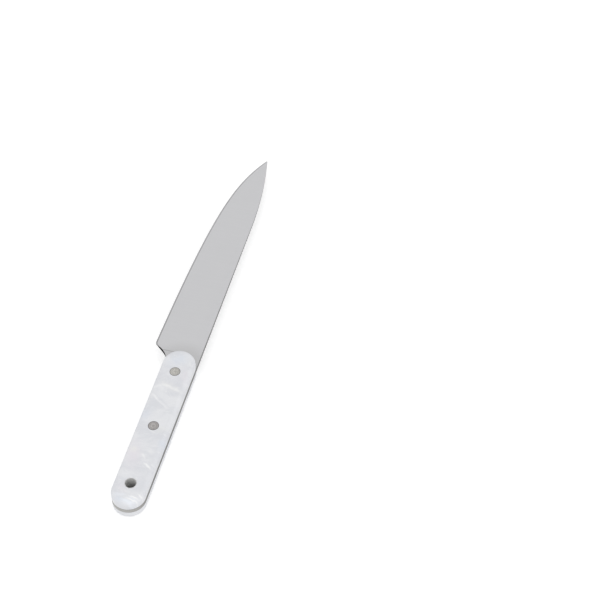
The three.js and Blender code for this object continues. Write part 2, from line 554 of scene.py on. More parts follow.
@dataclass(frozen=True, kw_only=True)
class GroundMetal:
    """Metal with the lines of a grinding belt."""

    name: str
    colour: Colour
    roughness: float
    grain: Grain
    metallic: float = 1.0
    specular: float = 0.5
    band_range: Range = (0.3, 0.7)
    band_share: float = 0.35
    line_range: Range = (0.25, 0.75)
    rough_change: float = 0.05

    def shade(self, sheet: Sheet, at: Socket, colour: Socket) -> Socket:
        """Change the colour from place to place, which plain metal does not."""
        return colour

    def material(self) -> Material:
        """Draw up the finish.

        Returns:
            The material.
        """
        material, sheet, shader = new_material(self.name)
        at = sheet.place()
        belt = self.grain
        grain = sheet.group(grain_group(), Vector=at, Stretch=belt.stretch, Fineness=belt.fineness)
        marks = sheet.group(marks_group(), Vector=at)
        dark = tuple(channel * (1 - belt.contrast) for channel in self.colour)
        light = tuple(min(1.0, channel * (1 + belt.contrast)) for channel in self.colour)
        lines = sheet.blend(grain["Line"], dark, light)
        bands = sheet.spread(grain["Band"], self.band_range, (0.0, self.band_share))
        span = (self.roughness - self.rough_change, self.roughness + self.rough_change)
        rough = sheet.spread(grain["Line"], self.line_range, span)
        dressing = {
            "Base Color": self.shade(sheet, at, sheet.blend(bands, lines, light)),
            "Roughness": sheet.math("MULTIPLY_ADD", marks["Smear"], self.rough_change, rough),
            "Metallic": self.metallic,
            "Specular IOR Level": self.specular,
            "Normal": sheet.bump(grain["Line"], belt.depth),
        }
        sheet.fill(shader, dressing)
        return material


@dataclass(frozen=True, kw_only=True)
class BladeFlank(GroundMetal):
    """Ground flank, with painted shade round the front of the scale, and scored where the grind starts.
    """

    scale_centre: Spot
    scale_radius: float
    scale_shade_colour: Colour
    shade_margin: float
    score: float
    score_colour: Colour
    score_width: float = 0.5
    score_share: float = 0.7

    def shade(self, sheet: Sheet, at: Socket, colour: Socket) -> Socket:
        """Darken the colour near the round front of the scale as painted shade, and draw the score.

        Args:
            sheet: The material's sheet.
            at: Coordinates in millimetres.
            colour: The grain's colour.

        Returns:
            The changed colour's output.
        """
        radius = self.scale_radius
        middle = self.scale_centre[1]
        away = sheet.beside(at, (*self.scale_centre, 0.0))
        distance = sheet.measure("LENGTH", sheet.vector("MAXIMUM", away, (0.0, -2 * radius, 0.0)))
        # Painted shade: the flank darkens toward the scale's round front, where the scale shades it
        near = sheet.spread(distance, (radius, radius + self.shade_margin), (1.0, 0.0))
        shaded = sheet.blend(near, colour, self.scale_shade_colour)
        off_score = sheet.math("ABSOLUTE", sheet.math("SUBTRACT", sheet.along(at), self.score))
        line = sheet.spread(off_score, (0.0, self.score_width), (1.0, 0.0))
        depth = sheet.spread(sheet.along(at, "Y"), (middle, middle + radius), (0.0, self.score_share))
        return sheet.blend(sheet.math("MULTIPLY", line, depth), shaded, self.score_colour)


@dataclass(frozen=True, kw_only=True)
class GradedMetal(GroundMetal):
    """Ground metal whose colour changes along the knife."""

    start: float
    start_colour: Colour
    reach: float

    def shade(self, sheet: Sheet, at: Socket, colour: Socket) -> Socket:
        """Bring the colour in from the one at the start."""
        near = sheet.spread(sheet.along(at), (self.start, self.start + self.reach), (1.0, 0.0))
        return sheet.blend(near, colour, self.start_colour)


@dataclass(frozen=True, kw_only=True)
class TurnedNickel(GroundMetal):
    """Rivet head with faint turning rings and painted shade on its eased rim."""

    centre: Spot
    radius: float
    ring_and_rim_shade_colour: Colour
    ring_share: float
    ring_turns: float = 4.2
    rim_shade_width: float = 0.7

    def shade(self, sheet: Sheet, at: Socket, colour: Socket) -> Socket:
        """Draw the rings and the painted shade at the rim.

        Args:
            sheet: The material's sheet.
            at: Coordinates in millimetres.
            colour: The grain's colour.

        Returns:
            The changed colour's output.
        """
        distance = sheet.measure("LENGTH", sheet.beside(at, (*self.centre, 0.0)))
        wave = sheet.math("SINE", sheet.math("MULTIPLY", distance, self.ring_turns))
        rings = sheet.spread(wave, (-1.0, 1.0), (0.0, self.ring_share))
        # Painted shade at the rim, where the chamfer and the gap round the head fall dark; the same dark
        # colour tints the turning rings
        rim = sheet.spread(distance, (self.radius - self.rim_shade_width, self.radius))
        return sheet.blend(rim, sheet.blend(rings, colour, self.ring_and_rim_shade_colour), self.ring_and_rim_shade_colour)


@dataclass(frozen=True)
class Swirl:
    """A drawn-out patch of pearl, placed from the butt and the handle's axis, in millimetres."""

    start: Spot
    end: Spot
    width: float
    strength: float


PEARL_SHADE: Colour = (0.7, 0.71, 0.745)
PEARL_LIGHT: Colour = (0.775, 0.782, 0.805)
PEARL_BLUE: Colour = (0.68, 0.73, 0.815)
PEARL_ROSE: Colour = (0.765, 0.72, 0.77)
PEARL_CREAM: Colour = (0.83, 0.83, 0.8)
# Ice-white tint used at the butt end: partly pearl tint, partly painted highlight
PEARL_ICE_AND_HIGHLIGHT: Colour = (0.85, 0.885, 0.95)
PEARL_WHITE: Colour = (0.93, 0.93, 0.93)

PEARL_SWIRLS = {
    PEARL_BLUE: (
        Swirl((99.0, -3.0), (93.0, 4.0), 6.0, 0.5),
        Swirl((60.0, 6.0), (53.0, 7.5), 5.0, 0.35),
        Swirl((43.0, -8.6), (38.0, -8.6), 4.0, 0.6),
        Swirl((3.2, 5.4), (1.9, 0.4), 2.4, 0.5),
    ),
    PEARL_ROSE: (
        Swirl((36.0, 5.5), (24.0, 3.0), 6.5, 0.55),
        Swirl((12.0, 7.0), (8.5, 2.0), 4.0, 0.4),
        Swirl((90.0, -4.5), (82.0, -7.0), 3.6, 0.35),
    ),
    PEARL_CREAM: (
        Swirl((34.0, 7.0), (33.0, 3.5), 2.8, 0.5),
        Swirl((50.0, -7.0), (47.0, -2.0), 3.0, 0.45),
        Swirl((79.0, 4.5), (75.0, -7.0), 3.0, 0.6),
    ),
    # These swirls on the rounded butt end are partly pearl pattern and partly a painted highlight
    PEARL_ICE_AND_HIGHLIGHT: (
        Swirl((4.7, 6.6), (5.4, 0.4), 1.5, 0.5),
        Swirl((2.6, 1.6), (1.5, -5.6), 1.7, 0.8),
        Swirl((4.2, -1.4), (3.6, -6.4), 2.4, 0.5),
    ),
    PEARL_WHITE: (
        Swirl((74.2, 8.6), (77.9, 3.0), 1.4, 0.3),
        Swirl((78.0, 3.4), (76.2, -3.6), 1.6, 0.75),
        Swirl((76.4, -3.2), (74.6, -7.4), 1.5, 0.55),
        Swirl((75.4, 7.0), (75.4, 1.5), 2.4, 0.25),
        Swirl((70.4, 7.8), (62.8, -3.8), 1.15, 0.65),
        Swirl((60.8, -2.0), (61.0, -5.5), 0.9, 0.3),
        Swirl((47.3, 1.6), (45.8, -3.4), 0.8, 0.45),
        Swirl((46.6, -6.4), (46.0, -8.6), 0.7, 0.5),
        Swirl((35.0, -2.4), (33.0, -6.0), 2.6, 0.35),
        Swirl((31.9, -0.1), (29.3, -2.2), 0.9, 0.5),
        Swirl((26.4, -3.0), (23.6, -7.4), 0.95, 1.0),
        Swirl((26.6, -6.6), (25.6, -8.4), 0.7, 0.25),
        Swirl((5.4, -1.8), (4.7, -6.8), 0.62, 1.0),
        Swirl((3.9, -1.0), (3.0, -7.0), 0.62, 1.0),
        Swirl((7.3, -6.2), (6.2, -8.3), 0.8, 0.7),
    ),
}


@dataclass(frozen=True, kw_only=True)
class PearlAcrylic:
    """Cast acrylic with swirls of pearl under a polished face."""

    name: str
    origin: Spot
    turn: float
    roughness: float = 0.36
    smear_roughness: float = 0.06
    specular: float = 0.35
    ior: float = 1.49
    relief: float = 0.006 * MM
    stir_scale: float = 0.09
    stir_push: Triple = (12.0, 16.0, 8.0)
    cloud_stretch: Triple = (1.0, 0.5, 0.7)
    cloud_scale: float = 0.12
    cloud_range: Range = (0.34, 0.66)
    flake_scale: float = 1.3
    flake_range: Range = (0.5, 0.8)
    flake_share: float = 0.3
    ripple_scale: float = 0.3
    ripple_push: Triple = (1.8, 1.8, 0.0)
    break_range: Range = (0.3, 0.6)
    break_least: float = 0.55

    def material(self) -> Material:
        """Draw up the finish.

        Returns:
            The material.
        """
        material, sheet, shader = new_material(self.name)
        at = sheet.place(self.origin, self.turn)
        stirred = sheet.stir(at, self.stir_scale, detail=3.0, push=self.stir_push)
        drawn = sheet.vector("MULTIPLY", stirred, self.cloud_stretch)
        cloud = sheet.noise(drawn, self.cloud_scale, detail=4.0, roughness=0.55)["Fac"]
        clouded = sheet.blend(sheet.spread(cloud, self.cloud_range), PEARL_SHADE, PEARL_LIGHT)
        swirled = self.swirl(sheet, at, cloud, clouded)
        flake = sheet.noise(drawn, self.flake_scale, detail=2.0, roughness=0.6)["Fac"]
        flakes = sheet.spread(flake, self.flake_range, (0.0, self.flake_share))
        marks = sheet.group(marks_group(), Vector=at)
        dressing = {
            "Base Color": sheet.blend(flakes, swirled, PEARL_WHITE),
            "Roughness": sheet.math("MULTIPLY_ADD", marks["Smear"], self.smear_roughness, self.roughness),
            "Normal": sheet.bump(cloud, self.relief),
            "IOR": self.ior,
            "Specular IOR Level": self.specular,
        }
        sheet.fill(shader, dressing)
        return material

    def swirl(self, sheet: Sheet, at: Socket, cloud: Socket, colour: Socket) -> Socket:
        """Stir the placed swirls into the colour.

        Args:
            sheet: The material's sheet.
            at: Coordinates from the butt and the handle's axis, in millimetres.
            cloud: A mask that breaks the swirls up.
            colour: The clouded colour.

        Returns:
            The swirled colour's output.
        """
        bent = sheet.stir(at, self.ripple_scale, detail=2.0, push=self.ripple_push)
        broken = sheet.spread(cloud, self.break_range, (self.break_least, 1.0))
        for tint, swirls in PEARL_SWIRLS.items():
            for swirl in swirls:
                start = (*swirl.start, 0.0)
                run = (swirl.end[0] - swirl.start[0], swirl.end[1] - swirl.start[1], 0.0)
                patch = sheet.group(swirl_group(), Vector=bent, Start=start, Run=run, Width=swirl.width)
                share = sheet.math("MULTIPLY", patch["Mask"], broken)
                colour = sheet.blend(sheet.math("MULTIPLY", share, swirl.strength), colour, tint)
        return colour


@dataclass(frozen=True)
class SetEpoxy:
    """Dark glue that shows as a seam."""

    name: str = "set_epoxy"
    dark: Colour = (0.06, 0.058, 0.054)
    light: Colour = (0.15, 0.145, 0.135)
    roughness: float = 0.55
    smear_roughness: float = -0.15
    smear_size: float = 0.25
    relief: float = 0.05 * MM

    def material(self) -> Material:
        """Draw up the finish.

        Returns:
            The material.
        """
        material, sheet, shader = new_material(self.name)
        smear = sheet.group(marks_group(), Vector=sheet.place(), Size=self.smear_size)["Smear"]
        dressing = {
            "Base Color": sheet.blend(smear, self.dark, self.light),
            "Roughness": sheet.math("MULTIPLY_ADD", smear, self.smear_roughness, self.roughness),
            "Normal": sheet.bump(smear, self.relief),
        }
        sheet.fill(shader, dressing)
        return material


FLANK_GRAIN = Grain(stretch=(6.0, 0.25, 1.0), fineness=1.4, contrast=0.035, depth=0.004 * MM)
EDGE_GRAIN = Grain(stretch=(6.0, 6.0, 0.6), fineness=1.4, contrast=0.12, depth=0.008 * MM)
BEVEL_GRAIN = Grain(stretch=(8.0, 1.0, 1.0), fineness=1.6, contrast=0.06, depth=0.004 * MM)
NOTCH_GRAIN = Grain(stretch=(5.0, 5.0, 0.8), fineness=1.2, contrast=0.2, depth=0.01 * MM)
NICKEL_GRAIN = Grain(stretch=(1.1, 1.8, 1.0), fineness=0.9, contrast=0.65, depth=0.006 * MM)
RIM_GRAIN = Grain(stretch=(4.0, 4.0, 1.0), fineness=1.0, contrast=0.08, depth=0.004 * MM)
BORE_GRAIN = Grain(stretch=(3.0, 3.0, 0.3), fineness=1.0, contrast=0.12, depth=0.006 * MM)

TUBE_RIM = GroundMetal(name="tube_rim", colour=(0.78, 0.78, 0.785), roughness=0.22, grain=RIM_GRAIN)
TUBE_BORE = GroundMetal(
    name="tube_bore",
    colour=(0.56, 0.56, 0.555),
    roughness=0.6,
    grain=BORE_GRAIN,
    metallic=0.0,
    specular=0.1,
)


# Sub-assemblies


def curve_through(start: Vector, bend: Vector, end: Vector, steps: int) -> list[Vector]:
    """Walk round a corner in steps, from its start by the sharp corner that it rounds to its end."""
    return interpolate_bezier(start, start.lerp(bend, 2 / 3), end.lerp(bend, 2 / 3), end, steps + 1)


@dataclass(frozen=True)
class Station:
    """One section of the blank, from its spine to its edge side, in metres."""

    x: float
    spine: float
    edge: float
    sharp: float


@dataclass
class SteelBlank:
    """Blade and tang: a flat blank, ground to a wedge, with a sharpened bevel."""

    plan: HandlePlan
    blade_height: float = 27.65 * MM
    tip_drop: float = 5.8 * MM
    drop_run: float = 56.0 * MM
    tip_width: float = 0.6 * MM
    tip_thickness: float = 0.6 * MM
    notch_start: float = 5.4 * MM
    notch_bend: float = 1.2 * MM
    notch_foot: float = 2.6 * MM
    notch_reach: float = 2.2 * MM
    heel_forward: float = 5.0 * MM
    heel_rounding: float = 1.4 * MM
    heel_run: float = 106.0 * MM
    heel_fall: float = 2.3 * MM
    point_run: float = 22.8 * MM
    point_rise: float = 13.3 * MM
    grind_forward: float = 1.2 * MM
    bevel_width: float = 0.9 * MM
    bevel_thickness: float = 0.45 * MM
    bevel_run_in: float = 1.4 * MM
    bevel_reach: float = 90.0 * MM
    bevel_tilt: float = 0.995
    widest_bevel: float = 3.6 * MM
    edge_thickness: float = 0.06 * MM
    spine_ease: float = 0.08 * MM
    score_forward: float = 1.1 * MM
    scale_shade_margin: float = 12.0 * MM
    butt_light_reach: float = 14.0 * MM
    grid: float = 2.0 * MM
    butt_steps: int = 24
    notch_steps: int = 16
    heel_steps: int = 10
    edge_steps: int = 84
    flank_rows: int = 4
    ease_steps: int = 2
    smooth_angle: float = 9.0

    def __post_init__(self) -> None:
        """Read the blank's box from its solid and place its corners."""
        low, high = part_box("blade_and_tang")
        self.tip = high.x
        self.spine_line = low.y
        self.heel_line = low.y + self.blade_height
        self.stock = high.z - low.z
        self.level = (low.z + high.z) / 2
        self.rows = self.flank_rows + 2
        self.drop_radius = (self.drop_run**2 + self.tip_drop**2) / (2 * self.tip_drop)
        self.side = self.plan.axis + self.plan.half_width
        self.heel = Vector((self.plan.front + self.heel_forward, self.heel_line, 0))
        self.notch_corner = Vector((self.plan.front - self.notch_bend, self.side, 0))
        self.heel_pull = self.heel + Vector((self.heel_run, -self.heel_fall, 0))
        self.wall_end = self.heel + (self.notch_corner - self.heel).normalized() * self.heel_rounding
        self.edge_start = self.heel + (self.heel_pull - self.heel).normalized() * self.heel_rounding

    def spine_at(self, x: float) -> float:
        """Give the spine's place across the knife: straight, then a round drop to the point."""
        run = max(0.0, x - (self.tip - self.drop_run))
        return self.spine_line + self.drop_radius - math.sqrt(self.drop_radius**2 - run**2)

    def sharpness(self, x: float) -> float:
        """Give how far the bevel is ground at a place along the blade, from 0 to 1."""
        return clamp((x - self.wall_end.x) / self.bevel_run_in)

    def stations(self) -> list[Station]:
        """Walk round the outline from the butt to the point.

        Returns:
            The sections of the blank in order.
        """
        plan = self.plan
        found = []
        for step in range(self.butt_steps + 1):
            turn = step / self.butt_steps * math.pi / 2
            reach = plan.half_width * math.sin(turn)
            x = plan.butt + plan.half_width * (1 - math.cos(turn))
            found.append(Station(x, plan.axis - reach, plan.axis + reach, 0.0))
        notch_base = Vector((plan.front - self.notch_start, self.side, 0))
        notch = curve_through(notch_base, self.notch_corner, self.wall_end, self.notch_steps)
        rounding = curve_through(self.wall_end, self.heel, self.edge_start, self.heel_steps)
        point = Vector((self.tip, self.spine_at(self.tip) + self.tip_width, 0))
        pull = point + Vector((-self.point_run, self.point_rise, 0))
        edge = interpolate_bezier(self.edge_start, self.heel_pull, pull, point, self.edge_steps + 1)
        for spot in notch + rounding[1:] + edge[1:]:
            found.append(Station(spot.x, self.spine_at(spot.x), spot.y, self.sharpness(spot.x)))
        return found

    def half_thickness(self, station: Station, y: float) -> float:
        """Work out how thick the ground flank leaves the blank.

        Args:
            station: The section.
            y: Place across the knife.

        Returns:
            Half of the thickness there.
        """
        front = self.plan.front
        along = clamp((station.x - front) / (self.tip - front))
        spine_half = (self.stock + (self.tip_thickness - self.stock) * along) / 2
        foot = station.edge if station.x > self.edge_start.x else self.heel_line
        across = (y - station.spine) / (foot - station.spine)
        wedge = spine_half + (self.bevel_thickness / 2 - spine_half) * across
        start = front + self.grind_forward
        way = clamp((station.x - start) / (self.heel.x - start))
        ground = way * way * (3 - 2 * way)
        return self.stock / 2 + (wedge - self.stock / 2) * ground

    def build(self) -> Piece:
        """Model the blank and dress it.

        Returns:
            The finished mesh object.
        """
        stations = self.stations()
        columns = len(stations)
        clear_selection()
        bpy.ops.mesh.primitive_grid_add(
            x_subdivisions=columns - 1, y_subdivisions=self.rows - 1, size=self.grid
        )
        piece = settle("steel_blank")
        with shaping(piece):
            for column in range(columns):
                self.set_column(stations, column)
        self.thicken(piece, stations)
        self.dress(piece)
        return piece

    def set_column(self, stations: Sequence[Station], column: int) -> None:
        """Move one column of the flat grid in edit mode to its section.

        Args:
            stations: The sections, one for each column.
            column: Which column is moved.
        """
        station = stations[column]
        members = range(column, self.rows * len(stations), len(stations))
        pick(MeshPart.VERTS, lambda vert: vert.index in members)
        mesh = bmesh.from_edit_mesh(bpy.context.edit_object.data)
        mesh.verts.ensure_lookup_table()
        now = mesh.verts[column].co.copy()
        width = station.edge - station.spine
        flank = width - min(self.bevel_width, width / 2)
        share = self.flank_rows / (self.rows - 1)
        bpy.ops.transform.resize(value=(1, flank / (self.grid * share), 1), center_override=now)
        bpy.ops.transform.translate(value=(station.x - now.x, station.spine - now.y, self.level - now.z))
        pick(MeshPart.VERTS, lambda vert: vert.index == members[-1])
        bpy.ops.transform.translate(value=(0, width - flank / share, 0))

    def thicken(self, piece: Piece, stations: Sequence[Station]) -> None:
        """Give the flat blank its ground thickness.

        Args:
            piece: The flat blank.
            stations: Its sections, one for each column.
        """
        group = piece.vertex_groups.new(name="grind")
        for vert in piece.data.vertices:
            row, column = divmod(vert.index, len(stations))
            station = stations[column]
            half = self.half_thickness(station, vert.co.y)
            if row == self.rows - 1:
                half += (self.edge_thickness / 2 - half) * station.sharp
            group.add([vert.index], half / (self.stock / 2), "REPLACE")
        with shaping(piece):
            merge_doubles()
            face_outwards()
        apply_modifier(piece, "SOLIDIFY", thickness=self.stock, offset=0.0, vertex_group=group.name)

    def finishes(self) -> tuple[GroundMetal, ...]:
        """List the blank's finishes in the order of its slots.

        Returns:
            The finishes.
        """
        plan = self.plan
        flank = BladeFlank(
            name="blade_flank",
            colour=(0.575, 0.575, 0.587),
            roughness=0.34,
            grain=FLANK_GRAIN,
            scale_centre=((plan.front - plan.half_width) / MM, plan.axis / MM),
            scale_radius=plan.half_width / MM,
            # Painted shade on the flank round the front of the scale
            scale_shade_colour=(0.5, 0.5, 0.505),
            shade_margin=self.scale_shade_margin / MM,
            score=(plan.front + self.score_forward) / MM,
            score_colour=(0.3, 0.3, 0.303),
        )
        # The cut edge's dark colour is a painted dark reflection of the shaded table beside the knife;
        # its lighter colour at the butt is painted light on the end that faces the key lamp
        cut_edge = GradedMetal(
            name="cut_edge",
            colour=(0.155, 0.152, 0.148),
            roughness=0.42,
            grain=EDGE_GRAIN,
            start=plan.butt / MM,
            start_colour=(0.4, 0.392, 0.378),
            reach=self.butt_light_reach / MM,
        )
        bevel = GradedMetal(
            name="blade_bevel",
            colour=(0.38, 0.38, 0.388),
            roughness=0.3,
            grain=BEVEL_GRAIN,
            start=self.heel.x / MM,
            start_colour=(0.35, 0.35, 0.356),
            reach=self.bevel_reach / MM,
        )
        # The notch wall's near-black colour is a painted dark reflection, fading to grey toward the
        # handle
        notch = GradedMetal(
            name="notch_wall",
            colour=(0.008, 0.008, 0.008),
            roughness=0.5,
            grain=NOTCH_GRAIN,
            metallic=0.0,
            specular=0.0,
            start=(plan.front - self.notch_foot) / MM,
            start_colour=(0.4, 0.4, 0.4),
            reach=self.notch_reach / MM,
        )
        return flank, cut_edge, bevel, notch

    def dress(self, piece: Piece) -> None:
        """Give each face its finish, ease the spine and drill the tang.

        Args:
            piece: The thick blank.
        """
        plan = self.plan
        for finish in self.finishes():
            piece.data.materials.append(finish.material())
        with shaping(piece):
            paint(BlankFace.BEVEL, self.is_bevel)
            paint(BlankFace.CUT_EDGE, self.is_wall)
            paint(BlankFace.NOTCH, self.is_notch)
            pick(MeshPart.EDGES, self.is_spine_corner)
            bpy.ops.mesh.bevel(
                offset=self.spine_ease, segments=self.ease_steps, affect="EDGES", clamp_overlap=True
            )
            merge_doubles()
        for node in (*SLEEVES, TUBE):
            drill(piece, plan.spot_of(node), plan.hole_of(node), plan.table, plan.crown)
        smooth(piece, self.smooth_angle)

    def on_edge(self, spot: Vector) -> bool:
        """Tell a place on the cutting edge's side of the blade."""
        return spot.x > self.edge_start.x and spot.y > self.spine_at(spot.x) + self.tip_width

    def is_wall(self, face: Face) -> bool:
        """Tell a sheared wall of the outline, other than the cutting edge."""
        return is_upright(face) and not self.on_edge(face.calc_center_median())

    def is_notch(self, face: Face) -> bool:
        """Tell the wall of the heel notch."""
        spot = face.calc_center_median() - Vector((self.plan.front - self.notch_start, self.plan.axis, 0))
        return self.is_wall(face) and spot.x > 0 and spot.y > 0

    def is_bevel(self, face: Face) -> bool:
        """Tell the sharpened bevel and the cutting edge itself.

        Args:
            face: The face to test.

        Returns:
            Whether it belongs to the bevel.
        """
        spot = face.calc_center_median()
        places = [vert.co.y for vert in face.verts]
        narrow = max(places) - min(places) < self.widest_bevel
        ahead = spot.x > self.wall_end.x and spot.y > self.spine_at(spot.x)
        return ahead and narrow and abs(face.normal.z) < self.bevel_tilt

    def is_spine_corner(self, edge: Edge) -> bool:
        """Tell the two long corners of the spine in front of the handle.

        Args:
            edge: The edge to test.

        Returns:
            Whether it lies on such a corner.
        """
        walls = [is_upright(face) for face in edge.link_faces]
        middle = (edge.verts[0].co + edge.verts[1].co) / 2
        on_spine = middle.y < self.spine_at(middle.x) + self.tip_width / 2
        return middle.x > self.plan.front and on_spine and sorted(walls) == [False, True]


@dataclass
class HandleScale:
    """One half of the handle: a long round-ended slab with a rounded outer edge."""

    plan: HandlePlan
    side: Side
    edge_radius: float = 2.4 * MM
    round_steps: int = 144
    edge_steps: int = 9
    smooth_angle: float = 30.0

    def __post_init__(self) -> None:
        """Find the levels of the half's inner and outer faces."""
        upper = self.side is Side.UPPER
        self.name = f"{self.side.name.lower()}_scale"
        self.seat = self.plan.upper_seat if upper else self.plan.lower_seat
        self.face = self.plan.crown if upper else self.plan.table

    def finish(self) -> PearlAcrylic:
        """Choose the pearl: the lower half shows the upper one's sheet turned end for end.

        Returns:
            The half's finish.
        """
        plan = self.plan
        if self.side is Side.UPPER:
            return PearlAcrylic(name="pearl_upper", origin=(-plan.butt / MM, -plan.axis / MM), turn=0.0)
        return PearlAcrylic(name="pearl_lower", origin=(plan.front / MM, plan.axis / MM), turn=180.0)

    def build(self) -> Piece:
        """Model the half and dress it.

        Returns:
            The finished mesh object.
        """
        plan = self.plan
        centre = plan.butt + plan.half_width
        half_step = math.pi / self.round_steps
        clear_selection()
        bpy.ops.mesh.primitive_circle_add(
            vertices=self.round_steps,
            radius=plan.half_width / math.cos(half_step),
            fill_type="NGON",
            location=(centre, plan.axis, self.seat),
            rotation=(0, 0, half_step),
        )
        piece = settle(f"pearl_{self.name}")
        with shaping(piece):
            pick(MeshPart.VERTS, lambda vert: vert.co.x > centre)
            stretch = plan.front - plan.butt - 2 * plan.half_width
            bpy.ops.transform.translate(value=(stretch, 0, 0))
            bpy.ops.mesh.select_all(action="SELECT")
            draw_up(self.face - self.seat)
            pick(MeshPart.EDGES, on_level(self.face, plan.fit))
            bpy.ops.mesh.bevel(offset=self.edge_radius, segments=self.edge_steps, affect="EDGES")
            face_outwards()
        self.drill_holes(piece)
        piece.data.materials.append(self.finish().material())
        smooth(piece, self.smooth_angle)
        return piece

    def drill_holes(self, piece: Piece) -> None:
        """Cut the stepped rivet holes and the plain hole of the tube.

        Args:
            piece: The slab.
        """
        plan = self.plan
        outward = self.side.value
        past = self.face + outward * self.edge_radius
        behind = self.seat - outward * self.edge_radius
        ledge = self.face - outward * plan.head_thickness
        for node in SLEEVES:
            drill(piece, plan.spot_of(node), plan.radius_of(node) + plan.fit, past, ledge)
            drill(piece, plan.spot_of(node), plan.hole_of(node), past, behind)
        drill(piece, plan.spot_of(TUBE), plan.hole_of(TUBE), past, behind)


@dataclass
class RivetHalf:
    """One half of a compression rivet: a head on a post, or a head on a hollow sleeve."""

    plan: HandlePlan
    place: str
    side: Side
    sleeve_wall: float = 0.65 * MM
    rim_ease: float = 0.08 * MM
    rim_steps: int = 3
    round_steps: int = 72
    smooth_angle: float = 35.0

    def __post_init__(self) -> None:
        """Name the half's solid and read its sizes."""
        upper = self.side is Side.UPPER
        self.node = f"{self.place}_rivet_{'post' if upper else 'sleeve'}"
        low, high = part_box(self.node)
        self.face, self.end = (high.z, low.z) if upper else (low.z, high.z)
        self.head = self.plan.radius_of(self.node)
        sleeve = self.head - self.plan.head_lip
        self.shank = sleeve - self.sleeve_wall - self.plan.fit if upper else sleeve

    def build(self, finish: Material) -> Piece:
        """Model the half: a shank, its head drawn out at the end, and an eased rim.

        Args:
            finish: The rivet's material.

        Returns:
            The finished mesh object.
        """
        outward = self.side.value
        shoulder = self.face - outward * self.plan.head_thickness
        x, y = self.plan.spot_of(self.node)
        clear_selection()
        bpy.ops.mesh.primitive_cylinder_add(
            vertices=self.round_steps,
            radius=self.shank,
            depth=abs(shoulder - self.end),
            location=(x, y, (shoulder + self.end) / 2),
        )
        piece = settle(self.node.replace("rivet", "nickel_rivet"))
        with shaping(piece):
            pick(MeshPart.FACES, on_level(shoulder, self.plan.fit))
            draw_up(0)
            grow = self.head / self.shank
            bpy.ops.transform.resize(value=(grow, grow, 1), center_override=(x, y, shoulder))
            draw_up(self.face - shoulder)
            pick(MeshPart.EDGES, on_level(self.face, self.plan.fit))
            bpy.ops.mesh.bevel(offset=self.rim_ease, segments=self.rim_steps, affect="EDGES")
            if self.side is Side.LOWER:
                self.hollow(shoulder)
        piece.data.materials.append(finish)
        smooth(piece, self.smooth_angle)
        return piece

    def hollow(self, floor: float) -> None:
        """Sink the bore of a sleeve from its open end.

        Args:
            floor: Level of the bore's floor.
        """
        pick(MeshPart.FACES, on_level(self.end, self.plan.fit))
        bpy.ops.mesh.inset(thickness=self.sleeve_wall)
        draw_up(floor - self.end)


@dataclass
class Rivet:
    """A rivet of two halves with one finish."""

    plan: HandlePlan
    place: str
    colour: Colour
    ring_and_rim_shade_colour: Colour
    ring_share: float

    def build(self) -> None:
        """Model and hand over both halves."""
        halves = [RivetHalf(self.plan, self.place, side) for side in Side]
        x, y = self.plan.spot_of(halves[0].node)
        finish = TurnedNickel(
            name=f"{self.place}_rivet_nickel",
            colour=self.colour,
            roughness=0.42,
            grain=NICKEL_GRAIN,
            centre=(x / MM, y / MM),
            radius=halves[0].head / MM,
            ring_and_rim_shade_colour=self.ring_and_rim_shade_colour,
            ring_share=self.ring_share,
        )
        nickel = finish.material()
        for half in halves:
            hand_over(half.build(nickel), "rivet_metal", half.node)


@dataclass
class HangingTube:
    """Thin tube that lines the hanging hole."""

    plan: HandlePlan
    wall: float = 0.3 * MM
    mouth_ease: float = 0.2 * MM
    mouth_steps: int = 3
    round_steps: int = 96
    inward: float = -0.2
    smooth_angle: float = 35.0

    def build(self) -> Piece:
        """Model the tube: a drawn ring with a wall and eased mouths.

        Returns:
            The finished mesh object.
        """
        low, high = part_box(TUBE)
        clear_selection()
        bpy.ops.mesh.primitive_circle_add(
            vertices=self.round_steps,
            radius=self.plan.radius_of(TUBE),
            location=(*self.plan.spot_of(TUBE), low.z),
        )
        piece = settle("steel_hanging_tube")
        with shaping(piece):
            pick(MeshPart.VERTS, lambda vert: True)
            draw_up(high.z - low.z)
            face_outwards()
        apply_modifier(piece, "SOLIDIFY", thickness=self.wall, offset=-1.0, use_even_offset=True)
        for finish in (TUBE_RIM, TUBE_BORE):
            piece.data.materials.append(finish.material())
        with shaping(piece):
            pick(MeshPart.EDGES, self.is_mouth)
            bpy.ops.mesh.bevel(offset=self.mouth_ease, segments=self.mouth_steps, affect="EDGES")
            face_outwards()
            paint(TubeFace.BORE, self.is_bore)
        smooth(piece, self.smooth_angle)
        return piece

    def from_axis(self, spot: Vector) -> Vector:
        """Give the level way from the tube's axis to a point."""
        x, y = self.plan.spot_of(TUBE)
        return Vector((spot.x - x, spot.y - y, 0))

    def is_bore(self, face: Face) -> bool:
        """Tell the inner wall and its eased mouths: they face the axis."""
        return face.normal.dot(self.from_axis(face.calc_center_median()).normalized()) < self.inward

    def is_mouth(self, edge: Edge) -> bool:
        """Tell the inner rim of either mouth."""
        reach = max(self.from_axis(vert.co).length for vert in edge.verts)
        return is_level(edge) and reach < self.plan.radius_of(TUBE) - self.wall / 2


def dress_seams() -> None:
    """Give the two glue films their finish."""
    glue = SetEpoxy().material()
    for name in ("upper_bond_line", "lower_bond_line"):
        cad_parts[name].material_slots[0].material = glue
        LOG.info("%s: solid kept, glue finish", name)


# Studio


